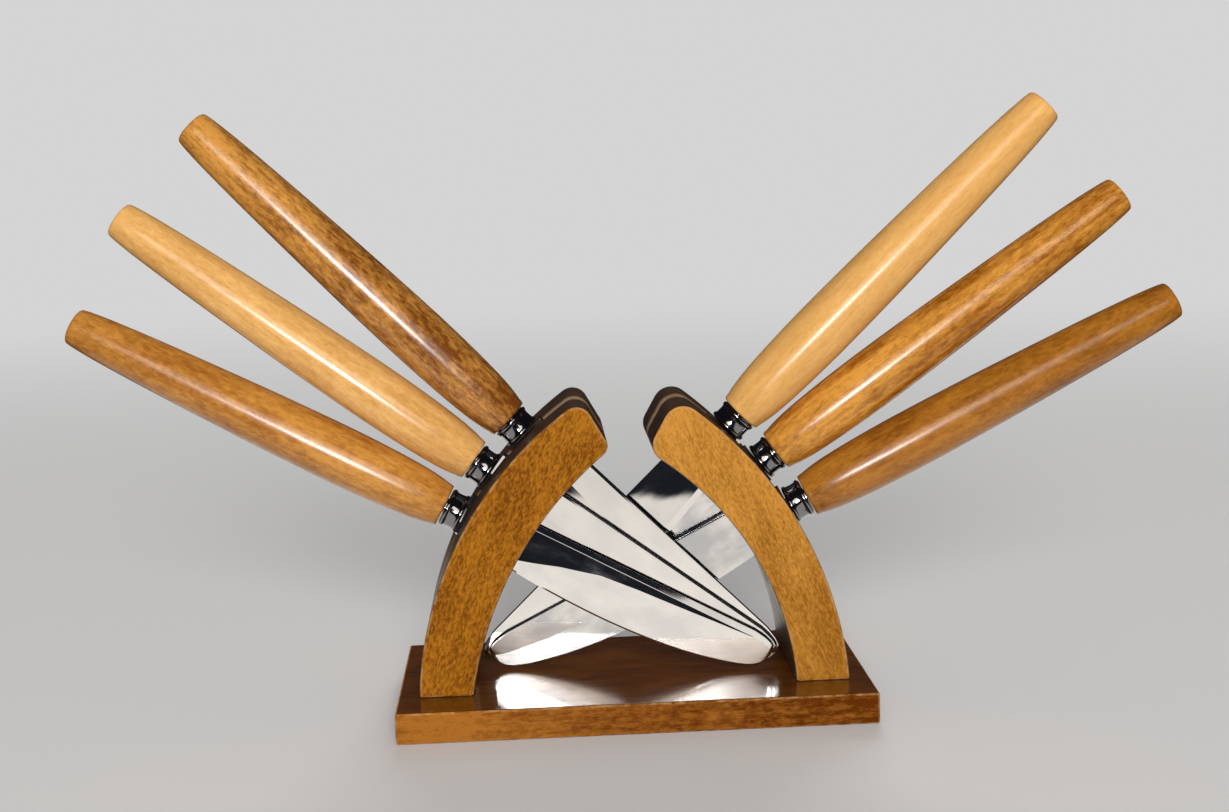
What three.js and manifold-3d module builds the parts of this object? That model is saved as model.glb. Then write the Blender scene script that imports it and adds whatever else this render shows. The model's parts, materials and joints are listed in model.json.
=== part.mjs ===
// Desk stand with six table knives: a base board, two curved slotted arms, and three knives fanned in each.
// Millimetres, +Z up, +X to the right, +Y to the back. The origin is the middle of the base's underside.
import * as THREE from 'three';
import { mergeVertices } from 'three/addons/utils/BufferGeometryUtils.js';
import Module from 'manifold-3d';

const wasm = await Module();
wasm.setup();

// Base board
const BASE_LENGTH = 120;
const BASE_DEPTH = 56;
const BASE_THICKNESS = 8;

// Arms. Each outline has an outer and an inner arc and a sloping end; the two are hand-shaped and differ.
const ARM_DEPTH = 34;
const ARM_FOOT_INSET = 5.4;
const ARM_TOP_REACH = 11.7;
const ARM_END_SLOPE = THREE.MathUtils.degToRad(60.5);
const LEFT_ARM = {
  outerRadius: 95.5,
  outerCentreHeight: 2.7,
  footThickness: 13.6,
  middleThickness: 15.5,
  endThickness: 14.4,
  topCornerRadius: 4.1,
  noseCornerRadius: 3,
};
const RIGHT_ARM = {
  outerRadius: 100.3,
  outerCentreHeight: -0.1,
  footThickness: 13.6,
  middleThickness: 13.7,
  endThickness: 15.4,
  topCornerRadius: 5,
  noseCornerRadius: 4.6,
};

// Knife slot, cut down the middle of each arm's depth from its end, a little askew so that the fans pass
const SLOT_CLEARANCE = 0.5;
const SLOT_BELOW_BLADE = 3;

// Fan of knives on each arm, counted from the lowest. All point at one spot by the foot of the other arm,
// a share of the blade's width inside it.
const KNIVES_PER_ARM = 3;
const LOWEST_SEAT_ANGLE = THREE.MathUtils.degToRad(30.2);
const HANDLE_GAP = 1.5;
const SEAT_GAP = 0.3;
const TIP_ABOVE_BASE = 1.5;
const AIM_TO_ARM_SHARE = 0.31;

// Blade
const BLADE_THICKNESS = 1.1;
const BLADE_WIDTH = 15;
const BLADE_GAP = 0.3;
const HEEL_GAP = 0.3;
const TANG_WIDTH = 4;
const TANG_LENGTH = 55;
const SPINE_SHARE = 0.404;
// Edge and rounded tip: places along the blade length, and heights over the knife's axis in blade widths
const EDGE_SHARES = [
  [0, -0.36], [0.1, -0.445], [0.19, -0.507], [0.28, -0.556], [0.41, -0.592], [0.54, -0.594], [0.67, -0.547],
  [0.79, -0.453], [0.9, -0.305], [0.962, -0.165], [0.99, 0], [1, 0.16], [0.994, 0.28], [0.968, 0.36],
  [0.925, SPINE_SHARE],
];

// Bolster, the metal collar between the blade and the handle
const BOLSTER_LENGTH = 4.9;
const BOLSTER_NECK_RADIUS = 4.5;
const BEAD_HEIGHT = 0.5;
const HANDLE_BEAD_WIDTH = 1.5;
const BLADE_BEAD_WIDTH = 1.15;
const SEAM_WIDTH = 0.35;

// Handle, a turned barrel; the lowest knife of each arm has a shorter one
const HANDLE_LENGTH = 108;
const LOW_HANDLE_LENGTH = 104.5;
const HANDLE_RADIUS = 7.5;
const BUTT_FACE_RADIUS = 3.9;
const BUTT_EDGE_LENGTH = 1;
const BUTT_EDGE_RADIUS = 4.8;
const NECK_FACE_RADIUS = 5.3;
const HANDLE_SEAM = 0.3;
const BORE_CLEARANCE = 0.5;
const BORE_END_CLEARANCE = 1;
// Swell of the barrel between its ends: places along the handle length, and radii in handle radii
const BARREL_SHARES = [
  [0.028, 0.68], [0.083, 0.745], [0.194, 0.825], [0.333, 0.893], [0.5, 0.96], [0.64, 0.993], [0.73, 1],
  [0.81, 0.982], [0.88, 0.945], [0.93, 0.895], [0.965, 0.83], [0.987, 0.765],
];

// Countersunk wood screws that hold the arms on the base
const SCREW_LENGTH = 24;
const SCREW_RADIUS = 1.75;
const SCREW_POINT_LENGTH = 4;
const SCREW_HEAD_RADIUS = 3.6;
const SCREW_HEAD_HEIGHT = 2.2;
const SCREW_HEAD_RECESS = 0.4;
const SCREW_SPACING = 20;
const SCREW_CLEARANCE = 0.3;
const SCREW_SLOT_WIDTH = 0.9;
const SCREW_SLOT_DEPTH = 0.8;

// Facets of the round work, and how far a cutter runs past what it cuts
const ARC_STEPS = 20;
const HANDLE_SIDES = 22;
const BARREL_STEPS = 14;
const EDGE_STEPS = 30;
const BEAD_STEPS = 4;
const SCREW_SIDES = 16;
const OVERRUN = 1;

const boreRadius = Math.hypot(TANG_WIDTH, BLADE_THICKNESS) / 2 + BORE_CLEARANCE;
const beadRadius = BOLSTER_NECK_RADIUS + BEAD_HEIGHT;
const spineHeight = BLADE_WIDTH * SPINE_SHARE;

const paint = (colour, roughness, metalness) =>
  new THREE.MeshStandardMaterial({ color: colour, roughness, metalness });
const finishes = {
  base: paint(0x7a4416, 0.25, 0),
  arm: paint(0xb4752e, 0.45, 0),
  dark: paint(0x8a4e1c, 0.3, 0),
  light: paint(0xdda45c, 0.3, 0),
  medium: paint(0xa8682a, 0.3, 0),
  golden: paint(0xb97a2e, 0.3, 0),
  steel: paint(0xd8d8d6, 0.1, 1),
  chrome: paint(0xc8ccd0, 0.08, 1),
  screw: paint(0xa89a6a, 0.4, 1),
};

function solid(geometry) {
  // A closed three.js mesh as a solid that can be joined and cut
  const bare = geometry.clone();
  bare.deleteAttribute('normal');
  bare.deleteAttribute('uv');
  const merged = mergeVertices(bare);
  return new wasm.Manifold(new wasm.Mesh({
    numProp: 3,
    vertProperties: new Float32Array(merged.attributes.position.array),
    triVerts: new Uint32Array(merged.index.array),
  }));
}

function geometryOf(body) {
  const mesh = body.getMesh();
  const geometry = new THREE.BufferGeometry();
  geometry.setAttribute('position', new THREE.BufferAttribute(mesh.vertProperties, 3));
  geometry.setIndex(new THREE.BufferAttribute(mesh.triVerts, 1));
  geometry.computeVertexNormals();
  return geometry;
}

function cut(geometry, cutters) {
  let body = solid(geometry);
  for (const cutter of cutters) body = body.subtract(solid(cutter));
  return geometryOf(body);
}

function named(name, geometry, finish) {
  const mesh = new THREE.Mesh(geometry, finish);
  mesh.name = name;
  return mesh;
}

function turned(profile, sides) {
  // A profile of [radius, height] pairs turned about the Z axis
  const points = profile.map(([radius, height]) => new THREE.Vector2(radius, height));
  return new THREE.LatheGeometry(points, sides).rotateX(Math.PI / 2);
}

function lineMeetsCircle(start, direction, centre, radius) {
  // The crossing of a line with a circle that lies further along the direction
  const away = start.clone().sub(centre);
  const along = away.dot(direction);
  const reach = Math.sqrt(along * along - away.lengthSq() + radius * radius);
  return start.clone().addScaledVector(direction, reach - along);
}

function circleThrough(a, b, c) {
  const ab = b.clone().sub(a);
  const ac = c.clone().sub(a);
  const twiceArea = 2 * ab.cross(ac);
  const centre = new THREE.Vector2(
    ac.y * ab.lengthSq() - ab.y * ac.lengthSq(), ab.x * ac.lengthSq() - ac.x * ab.lengthSq());
  centre.divideScalar(twiceArea).add(a);
  return { centre, radius: centre.distanceTo(a) };
}

const angleFrom = (centre, point) => Math.atan2(point.y - centre.y, point.x - centre.x);
const footOuterX = ARM_FOOT_INSET - BASE_LENGTH / 2;

function armFrame(spec) {
  // The arcs, the foot and the end of an arm, drawn for an arm on the -X side
  const rise = BASE_THICKNESS - spec.outerCentreHeight;
  const outerCentre = new THREE.Vector2(
    footOuterX + Math.sqrt(spec.outerRadius ** 2 - rise ** 2), spec.outerCentreHeight);
  const outerAt = (angle, inset = 0) => new THREE.Vector2(Math.cos(angle), Math.sin(angle))
    .multiplyScalar(spec.outerRadius - inset).add(outerCentre);
  const outerFoot = new THREE.Vector2(footOuterX, BASE_THICKNESS);
  const innerFoot = new THREE.Vector2(footOuterX + spec.footThickness, BASE_THICKNESS);
  const topX = -ARM_TOP_REACH;
  const topRise = Math.sqrt(spec.outerRadius ** 2 - (topX - outerCentre.x) ** 2);
  const top = new THREE.Vector2(topX, outerCentre.y + topRise);
  const endDown = new THREE.Vector2(Math.cos(ARM_END_SLOPE), -Math.sin(ARM_END_SLOPE));
  const nose = top.clone().addScaledVector(endDown, spec.endThickness);
  const middleAngle = (angleFrom(outerCentre, top) + angleFrom(outerCentre, outerFoot)) / 2;
  const inner = circleThrough(innerFoot, outerAt(middleAngle, spec.middleThickness), nose);
  return { outerCentre, outerAt, outerFoot, innerFoot, top, nose, endDown, inner };
}

function armOutline(spec) {
  // Outer arc up from the foot, rounded top corner, sloping end, rounded nose, and inner arc back down
  const { outerCentre, outerFoot, innerFoot, nose, endDown, inner } = armFrame(spec);
  const up = endDown.clone().negate();
  const inward = new THREE.Vector2(-up.y, up.x);
  const { topCornerRadius, noseCornerRadius } = spec;
  const topStart = nose.clone().addScaledVector(inward, topCornerRadius);
  const topCentre = lineMeetsCircle(topStart, up, outerCentre, spec.outerRadius - topCornerRadius);
  const noseStart = nose.clone().addScaledVector(inward, noseCornerRadius);
  const noseCentre = lineMeetsCircle(noseStart, up, inner.centre, inner.radius + noseCornerRadius);
  const outerFrom = angleFrom(outerCentre, outerFoot);
  const outerTo = angleFrom(outerCentre, topCentre);
  const endFacing = Math.atan2(-inward.y, -inward.x);
  const noseTo = angleFrom(noseCentre, inner.centre);
  const innerFrom = angleFrom(inner.centre, noseCentre);
  const innerTo = angleFrom(inner.centre, innerFoot);
  const shape = new THREE.Shape();
  shape.moveTo(outerFoot.x, outerFoot.y);
  shape.absarc(outerCentre.x, outerCentre.y, spec.outerRadius, outerFrom, outerTo, true);
  shape.absarc(topCentre.x, topCentre.y, topCornerRadius, outerTo, endFacing, true);
  shape.absarc(noseCentre.x, noseCentre.y, noseCornerRadius, endFacing, noseTo, true);
  shape.absarc(inner.centre.x, inner.centre.y, inner.radius, innerFrom, innerTo, false);
  shape.closePath();
  return shape;
}

function fanStep(reach) {
  // Angle between neighbouring knives that keeps their barrels apart all along
  const shoulder = reach + BOLSTER_LENGTH + HANDLE_SEAM;
  return Math.max(...BARREL_SHARES.map(([place, radius]) => {
    const distance = shoulder + (1 - place) * HANDLE_LENGTH;
    return 2 * Math.atan((radius * HANDLE_RADIUS + HANDLE_GAP / 2) / distance);
  }));
}

function knifeFan(spec, opposite) {
  // Where each knife's axis crosses the arm's outer arc, its reach from there to the aim, and its dip
  const { outerAt, outerCentre } = armFrame(spec);
  const aimX = -armFrame(opposite).innerFoot.x - AIM_TO_ARM_SHARE * BLADE_WIDTH;
  const aim = new THREE.Vector2(aimX, BASE_THICKNESS + TIP_ABOVE_BASE);
  const lowest = outerAt(Math.PI - LOWEST_SEAT_ANGLE).sub(aim);
  const step = fanStep(lowest.length());
  return Array.from({ length: KNIVES_PER_ARM }, (_, index) => {
    const dip = Math.PI - lowest.angle() + index * step;
    const outward = new THREE.Vector2(-Math.cos(dip), Math.sin(dip));
    const seat = lineMeetsCircle(aim, outward, outerCentre, spec.outerRadius);
    const lean = Math.abs(angleFrom(seat, outerCentre) + dip);
    return { seat, dip, lean, reach: seat.distanceTo(aim) };
  });
}

const fans = { left: knifeFan(LEFT_ARM, RIGHT_ARM), right: knifeFan(RIGHT_ARM, LEFT_ARM) };
const everySeat = [...fans.left, ...fans.right];
const armThickness = Math.max(LEFT_ARM.middleThickness, RIGHT_ARM.middleThickness);
const layerPitch = BLADE_THICKNESS + BLADE_GAP;
const slotWidth = KNIVES_PER_ARM * layerPitch - BLADE_GAP + 2 * SLOT_CLEARANCE;
const middleSeats = [fans.left, fans.right].map((fan) => fan[Math.floor(KNIVES_PER_ARM / 2)]);
const fanPivotX = Math.max(
  ...middleSeats.map(({ seat, dip }) => seat.x + (armThickness / 2) * Math.cos(dip)));
const fanYaw = Math.asin((KNIVES_PER_ARM * layerPitch) / (-2 * fanPivotX));
const standoff = (lean) => SEAT_GAP + beadRadius * Math.hypot(Math.tan(fanYaw), Math.tan(lean));
const bladeLength = Math.min(...everySeat.map(({ lean, reach }) => reach + standoff(lean))) - HEEL_GAP;
const lowestShare = Math.min(...EDGE_SHARES.map(([, height]) => height));
const slotFloor = Math.min(...everySeat.map(({ seat, dip }) =>
  seat.y - armThickness * Math.sin(dip) + (lowestShare * BLADE_WIDTH) / Math.cos(dip))) - SLOT_BELOW_BLADE;

function baseBoard(footMiddles) {
  const board = new THREE.BoxGeometry(BASE_LENGTH, BASE_DEPTH, BASE_THICKNESS);
  board.translate(0, 0, BASE_THICKNESS / 2);
  const places = footMiddles.flatMap((footMiddle) => screwPlaces(footMiddle));
  const holes = places.map(([x, y]) => screwHole().translate(x, y, 0));
  return cut(board, holes);
}

function screwPlaces(x) {
  return [[x, -SCREW_SPACING / 2], [x, SCREW_SPACING / 2]];
}

function screwHole() {
  // Countersink, clearance bore and pilot hole in one cutter
  const bore = SCREW_RADIUS + SCREW_CLEARANCE;
  const head = SCREW_HEAD_RADIUS + SCREW_CLEARANCE;
  const headFloor = SCREW_HEAD_RECESS + SCREW_HEAD_HEIGHT;
  const end = SCREW_HEAD_RECESS + SCREW_LENGTH + SCREW_CLEARANCE;
  return turned([
    [0, -OVERRUN], [head, -OVERRUN], [head, SCREW_HEAD_RECESS], [bore, headFloor], [bore, end], [0, end],
  ], SCREW_SIDES);
}

function screw() {
  const headFloor = SCREW_HEAD_RECESS + SCREW_HEAD_HEIGHT;
  const end = SCREW_HEAD_RECESS + SCREW_LENGTH;
  const body = turned([
    [0, SCREW_HEAD_RECESS], [SCREW_HEAD_RADIUS, SCREW_HEAD_RECESS], [SCREW_RADIUS, headFloor],
    [SCREW_RADIUS, end - SCREW_POINT_LENGTH], [0, end],
  ], SCREW_SIDES);
  const slot = new THREE.BoxGeometry(
    2 * (SCREW_HEAD_RADIUS + OVERRUN), SCREW_SLOT_WIDTH, SCREW_SLOT_DEPTH + OVERRUN);
  slot.translate(0, 0, SCREW_HEAD_RECESS + SCREW_SLOT_DEPTH - (SCREW_SLOT_DEPTH + OVERRUN) / 2);
  return cut(body, [slot]);
}

function arm(spec, footMiddle) {
  // A block cut to the outline, with the knife slot and the pilot holes of its screws
  const outline = new THREE.Shape(armOutline(spec).getPoints(ARC_STEPS));
  const block = new THREE.ExtrudeGeometry(outline, { depth: ARM_DEPTH, bevelEnabled: false, steps: 1 });
  block.rotateX(Math.PI / 2).translate(0, ARM_DEPTH / 2, 0);
  const slotHeight = armFrame(spec).top.y + OVERRUN - slotFloor;
  const slot = new THREE.BoxGeometry(BASE_LENGTH, slotWidth, slotHeight);
  slot.rotateZ(-fanYaw).translate(fanPivotX, 0, slotFloor + slotHeight / 2);
  const pilots = screwPlaces(footMiddle).map(([x, y]) => screwHole().translate(x, y, 0));
  return cut(block, [slot, ...pilots]);
}

function blade() {
  // Plate with a straight spine and a bellied edge, with its tang inside the bolster and the handle
  const along = (share) => HEEL_GAP + share * bladeLength;
  const edge = new THREE.SplineCurve(
    EDGE_SHARES.map(([place, height]) => new THREE.Vector2(along(place), height * BLADE_WIDTH)));
  const tangEnd = -BOLSTER_LENGTH - HANDLE_SEAM - TANG_LENGTH;
  const shape = new THREE.Shape([
    new THREE.Vector2(tangEnd, TANG_WIDTH / 2),
    new THREE.Vector2(tangEnd, -TANG_WIDTH / 2),
    new THREE.Vector2(HEEL_GAP, -TANG_WIDTH / 2),
    ...edge.getPoints(EDGE_STEPS),
    new THREE.Vector2(HEEL_GAP, spineHeight),
    new THREE.Vector2(HEEL_GAP, TANG_WIDTH / 2),
  ]);
  const plate = new THREE.ExtrudeGeometry(shape, { depth: BLADE_THICKNESS, bevelEnabled: false, steps: 1 });
  return plate.rotateX(Math.PI / 2).translate(0, BLADE_THICKNESS / 2, 0);
}

function bead(start, width) {
  // Half round ring on the bolster's neck
  return Array.from({ length: BEAD_STEPS + 1 }, (_, i) => {
    const angle = (Math.PI * i) / BEAD_STEPS;
    return [BOLSTER_NECK_RADIUS + BEAD_HEIGHT * Math.sin(angle), start + (width * (1 - Math.cos(angle))) / 2];
  });
}

function alongKnife(geometry, start) {
  // Turned work stands on Z from the butt upwards; this lays it on the knife's axis towards the tip
  return geometry.rotateY(Math.PI / 2).translate(start, 0, 0);
}

function bolster() {
  const ring = turned([
    [boreRadius, 0],
    [BOLSTER_NECK_RADIUS, 0],
    ...bead(SEAM_WIDTH, HANDLE_BEAD_WIDTH),
    ...bead(BOLSTER_LENGTH - BLADE_BEAD_WIDTH, BLADE_BEAD_WIDTH),
    [boreRadius, BOLSTER_LENGTH],
    [boreRadius, 0],
  ], HANDLE_SIDES);
  return alongKnife(ring, -BOLSTER_LENGTH);
}

function handle(length) {
  const barrel = new THREE.SplineCurve([
    new THREE.Vector2(BUTT_EDGE_LENGTH, BUTT_EDGE_RADIUS),
    ...BARREL_SHARES.map(([place, radius]) => new THREE.Vector2(place * length, radius * HANDLE_RADIUS)),
    new THREE.Vector2(length, NECK_FACE_RADIUS),
  ]);
  const boreFloor = length - TANG_LENGTH - BORE_END_CLEARANCE;
  const body = turned([
    [0, 0],
    [BUTT_FACE_RADIUS, 0],
    ...barrel.getPoints(BARREL_STEPS).map((point) => [point.y, point.x]),
    [boreRadius, length],
    [boreRadius, boreFloor],
    [0, boreFloor],
  ], HANDLE_SIDES);
  return alongKnife(body, -BOLSTER_LENGTH - HANDLE_SEAM - length);
}

function knife(name, { finish, handleLength, layer }, { seat, dip, lean }) {
  // Runs along its axis from the bolster's face, just off the seat, down and inwards
  const axis = new THREE.Vector3(Math.cos(dip), 0, -Math.sin(dip));
  const knifeGroup = new THREE.Group();
  knifeGroup.add(named(`${name}_blade`, blade(), finishes.steel));
  knifeGroup.add(named(`${name}_bolster`, bolster(), finishes.chrome));
  knifeGroup.add(named(`${name}_handle`, handle(handleLength), finishes[finish]));
  knifeGroup.rotation.y = dip;
  knifeGroup.position.set(seat.x - fanPivotX, layer * layerPitch, seat.y);
  knifeGroup.position.addScaledVector(axis, -standoff(lean));
  return knifeGroup;
}

const sides = [
  {
    name: 'left',
    turn: 0,
    spec: LEFT_ARM,
    fan: fans.left,
    knives: [
      { place: 'low', finish: 'medium', handleLength: LOW_HANDLE_LENGTH, layer: -1 },
      { place: 'middle', finish: 'light', handleLength: HANDLE_LENGTH, layer: 0 },
      { place: 'top', finish: 'dark', handleLength: HANDLE_LENGTH, layer: 1 },
    ],
  },
  {
    name: 'right',
    turn: Math.PI,
    spec: RIGHT_ARM,
    fan: fans.right,
    knives: [
      { place: 'low', finish: 'medium', handleLength: LOW_HANDLE_LENGTH, layer: 1 },
      { place: 'middle', finish: 'golden', handleLength: HANDLE_LENGTH, layer: -1 },
      { place: 'top', finish: 'light', handleLength: HANDLE_LENGTH, layer: 0 },
    ],
  },
];

const stand = new THREE.Group();
const footMiddleOf = (spec) => footOuterX + spec.footThickness / 2;
const footMiddles = sides.map(({ spec, turn }) => Math.cos(turn) * footMiddleOf(spec));
stand.add(named('base_board', baseBoard(footMiddles), finishes.base));
for (const { name, turn, spec, fan, knives } of sides) {
  const side = new THREE.Group();
  side.rotation.z = turn;
  const footMiddle = footMiddleOf(spec);
  side.add(named(`${name}_arm`, arm(spec, footMiddle), finishes.arm));
  const rows = turn === 0 ? ['front', 'back'] : ['back', 'front'];
  screwPlaces(footMiddle).forEach(([x, y], index) => {
    side.add(named(`${name}_${rows[index]}_screw`, screw().translate(x, y, 0), finishes.screw));
  });
  const fanGroup = new THREE.Group();
  fanGroup.position.x = fanPivotX;
  fanGroup.rotation.z = -fanYaw;
  knives.forEach((entry, index) => fanGroup.add(knife(`${name}_${entry.place}`, entry, fan[index])));
  side.add(fanGroup);
  stand.add(side);
}

export default stand;
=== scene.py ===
"""Desk stand with six table knives: the detailed pieces, their finishes and a studio stage.

Laid out as a Blender add-on and run as a script. Lengths are millimetres until a mesh is made,
+Z is up, +X to the right and +Y to the back.
"""
import json
import math

import bmesh
import bpy
import mathutils
import numpy as np
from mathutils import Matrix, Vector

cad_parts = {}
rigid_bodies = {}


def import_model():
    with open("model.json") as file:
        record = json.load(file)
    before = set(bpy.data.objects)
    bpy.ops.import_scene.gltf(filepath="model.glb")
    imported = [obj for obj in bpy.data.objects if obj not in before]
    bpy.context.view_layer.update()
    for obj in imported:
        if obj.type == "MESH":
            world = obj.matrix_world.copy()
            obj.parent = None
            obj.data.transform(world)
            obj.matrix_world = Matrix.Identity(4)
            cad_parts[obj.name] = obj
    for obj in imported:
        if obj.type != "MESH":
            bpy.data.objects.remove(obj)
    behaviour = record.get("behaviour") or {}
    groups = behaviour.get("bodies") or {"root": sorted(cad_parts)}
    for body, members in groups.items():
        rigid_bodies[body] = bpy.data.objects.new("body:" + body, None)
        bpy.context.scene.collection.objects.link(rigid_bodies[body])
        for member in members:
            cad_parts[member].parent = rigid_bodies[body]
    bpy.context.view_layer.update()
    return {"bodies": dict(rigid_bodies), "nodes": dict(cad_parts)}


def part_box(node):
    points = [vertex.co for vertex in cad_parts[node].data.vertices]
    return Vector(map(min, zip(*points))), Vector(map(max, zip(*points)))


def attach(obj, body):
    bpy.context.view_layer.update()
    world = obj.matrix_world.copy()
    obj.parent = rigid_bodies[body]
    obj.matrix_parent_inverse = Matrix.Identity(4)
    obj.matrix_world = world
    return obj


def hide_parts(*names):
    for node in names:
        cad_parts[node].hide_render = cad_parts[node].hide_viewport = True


bl_info = {
    "name": "Knife Stand",
    "version": (1, 0, 0),
    "blender": (4, 5, 0),
    "location": "3D View > Sidebar > Knife Stand",
    "description": "Builds a desk stand with two slotted arms, six table knives and a studio stage",
    "category": "Object",
}

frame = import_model()
MM = 0.001
KNIVES = sorted(body for body in frame["bodies"] if body.endswith("_knife"))
SCREWS = ("left_front_screw", "left_back_screw", "right_front_screw", "right_back_screw")
SCREW_AXES = np.array([(0, 0, 1.0), (1.0, 0, 0), (0, 1.0, 0)])
SMOOTH_ANGLE, TURNED_ANGLE, FACET_ANGLE = 35, 40, 1.6
PHOTO_WIDTH, SENSOR_WIDTH = 1229, 36

# The photograph's viewpoint: place in metres, and degrees turned right, tipped down and rolled
CAMERA_PLACE = (-0.02342, -0.40838, 0.14448)
CAMERA_ANGLES = (2.9085, -9.2497, -1.5706)
OBJECT_MIDDLE = (0, 0, 0.07)

# Place, size and colour of each lamp, and the rays that don't see it; the camera sees none
LAMPS = {
    "key": ((-0.1, -3.1, 1.3), (1.5, 1.2), (1, 1, 1), "glossy"),
    "fill": ((0.5, 2.7, 1.4), (1.8, 1.4), (1, 1, 1), "glossy"),
    "window": ((-0.25, -1.64, 0.29), (0.32, 0.24), (1, 1, 1), "diffuse"),
    "glow": ((-0.05, -1.7, 0.74), (1.2, 0.54), (1.0, 0.87, 0.76), "camera"),
}

# Outline of a blade from the heel's edge round the tip to the spine: shares of length and of width
EDGE_SHARES = (
    (0, -0.36), (0.1, -0.445), (0.19, -0.507), (0.28, -0.556), (0.41, -0.592), (0.54, -0.594),
    (0.67, -0.547), (0.79, -0.453), (0.9, -0.305), (0.962, -0.165), (0.99, 0), (1, 0.16),
    (0.994, 0.28), (0.968, 0.36), (0.925, 0.404),
)
SPINE_SHARE = 0.404

# Swell of a handle from its butt to its neck: shares of length and of the greatest radius
BARREL_SHARES = (
    (0.009, 0.64), (0.028, 0.68), (0.083, 0.745), (0.194, 0.825), (0.333, 0.893), (0.5, 0.96),
    (0.64, 0.993), (0.73, 1), (0.81, 0.982), (0.88, 0.945), (0.93, 0.895), (0.965, 0.83),
    (0.987, 0.765),
)

# The next tables give a wood's figure as shares of mottling, speckles, their fineness, flecks and
# bands, and then how much darker it is where a piece begins and where it ends
LEFT_ARM_FIGURE = ((0.55, 1.0, 1.9, 0.5, 0.3), (0.0, 0.0))
# The right arm lightens towards its top: partly the wood's own tone, partly painted light falling from
# above
RIGHT_ARM_FIGURE_AND_LIGHT = ((0.45, 0.55, 1.9, 0.45, 0.25), (0.3, -0.22))
# The board's sides darken from left to right: partly the wood's own tone, partly painted light and shade
# across them
BOARD_FIGURE_AND_LIGHT = ((0.3, 0.5, 1.1, 0.3, 0.3), (-0.3, 0.5))
RIM_FIGURE = ((0.5, 0.3, 1.5, 0.2, 0.4), (0.0, 0.0))
VARNISH_FIGURE = ((0.8, 0.15, 0.4, 0.0, 0.3), (0.0, 0.0))

# Per knife: the handle's pale and dark wood, its figure, and the lacquer's share and roughness
HANDLE_WOODS = {
    "left_top_knife": (
        (0.72, 0.33, 0.062), (0.20, 0.055, 0.002),
        ((0.6, 0.6, 1.0, 0.35, 0.3), (-0.2, 0.4)), (1.0, 0.22)),
    "left_middle_knife": (
        (0.98, 0.57, 0.19), (0.60, 0.27, 0.055),
        ((0.35, 0.3, 1.0, 0.2, 0.25), (-0.1, 0.1)), (0.75, 0.19)),
    "left_low_knife": (
        (0.68, 0.31, 0.055), (0.34, 0.112, 0.010),
        ((0.65, 0.5, 1.0, 0.3, 0.3), (0.1, -0.1)), (0.85, 0.22)),
    "right_top_knife": (
        (0.96, 0.55, 0.18), (0.68, 0.33, 0.075),
        ((0.3, 0.2, 1.0, 0.15, 0.25), (0.0, 0.08)), (0.6, 0.22)),
    "right_middle_knife": (
        (0.76, 0.35, 0.055), (0.31, 0.092, 0.002),
        ((0.65, 0.45, 1.0, 0.4, 0.5), (0.35, -0.15)), (0.7, 0.2)),
    "right_low_knife": (
        (0.47, 0.185, 0.020), (0.22, 0.066, 0.002),
        ((0.65, 0.5, 1.0, 0.35, 0.3), (0.05, 0.0)), (0.65, 0.21)),
}

# Roughness of the blades' polish where it is smooth and where it is smeared, the share of greyer
# clouds in it, and the brightness of the steel. On right_middle_knife and right_low_knife the full
# share of clouds, and on right_low_knife the lower brightness, are painted shade that greys the
# steel's reflections
BLADE_POLISH = {
    "left_low_knife": (0.03, 0.08, 0.4, 1.0),
    "right_low_knife": (0.04, 0.12, 1.0, 0.92),
    "right_middle_knife": (0.1, 0.2, 1.0, 1.0),
}
PLAIN_POLISH = (0.018, 0.055, 0.3, 1.0)

# Grinds of a blade's front: places along the blade with the share of its width where the ridge
# lies, the slope and the depth by which the facet above the ridge falls back at most, the chamfer's
# width and depth at the spine, and the share of the width and the half thickness where the hollow
# below the ridge ends
PLAIN_GRIND = (((0, 0.05), (1, 0.05)), 0.0, 0.0, 0.22, 0.15, 0.55, 0.14)
BLADE_GRINDS = {
    "left_low_knife": (
        ((0, 0.95), (0.2, 0.77), (0.32, 0.5), (0.44, 0.31), (0.56, 0.25), (0.8, 0.19), (1, 0.16)),
        0.132, 0.58, 1.5, 0.13, 0.97, 0.2),
    "right_top_knife": (((0, 0.88), (1, 0.88)), 0.0, 0.0, 0.22, 0.15, 0.97, 0.2),
}

# Sizes in metres in which the right arm differs from the left
RIGHT_ARM_SIZES = {
    "outer_radius": 0.1003, "outer_centre_height": -0.0001, "middle_thickness": 0.0137,
    "end_thickness": 0.0154, "top_corner": 0.005, "nose_corner": 0.0046,
}


# Settings

def length(name, description, default):
    return bpy.props.FloatProperty(name=name, description=description, default=default, unit="LENGTH")


def angle(name, description, default):
    return bpy.props.FloatProperty(
        name=name, description=description, default=math.radians(default), subtype="ANGLE")


def power(name, description, default):
    return bpy.props.FloatProperty(name=name, description=description, default=default, unit="POWER")


def colour(name, description, default):
    return bpy.props.FloatVectorProperty(
        name=name, description=description, default=default, size=3, min=0, max=1, subtype="COLOR")


class ArmSizes(bpy.types.PropertyGroup):
    """Sizes of one arm's outline, in metres."""
    outer_radius: length("Outer radius", "Radius of the outer arc", 0.0955)
    outer_centre_height: length("Outer centre height", "Height of the outer arc's centre", 0.0027)
    foot_thickness: length("Foot thickness", "Thickness at the foot", 0.0136)
    middle_thickness: length("Middle thickness", "Thickness halfway up", 0.0155)
    end_thickness: length("End thickness", "Length of the sloping end", 0.0144)
    top_corner: length("Top corner", "Radius of the end's upper corner", 0.0041)
    nose_corner: length("Nose corner", "Radius of the end's lower corner", 0.003)


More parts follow.
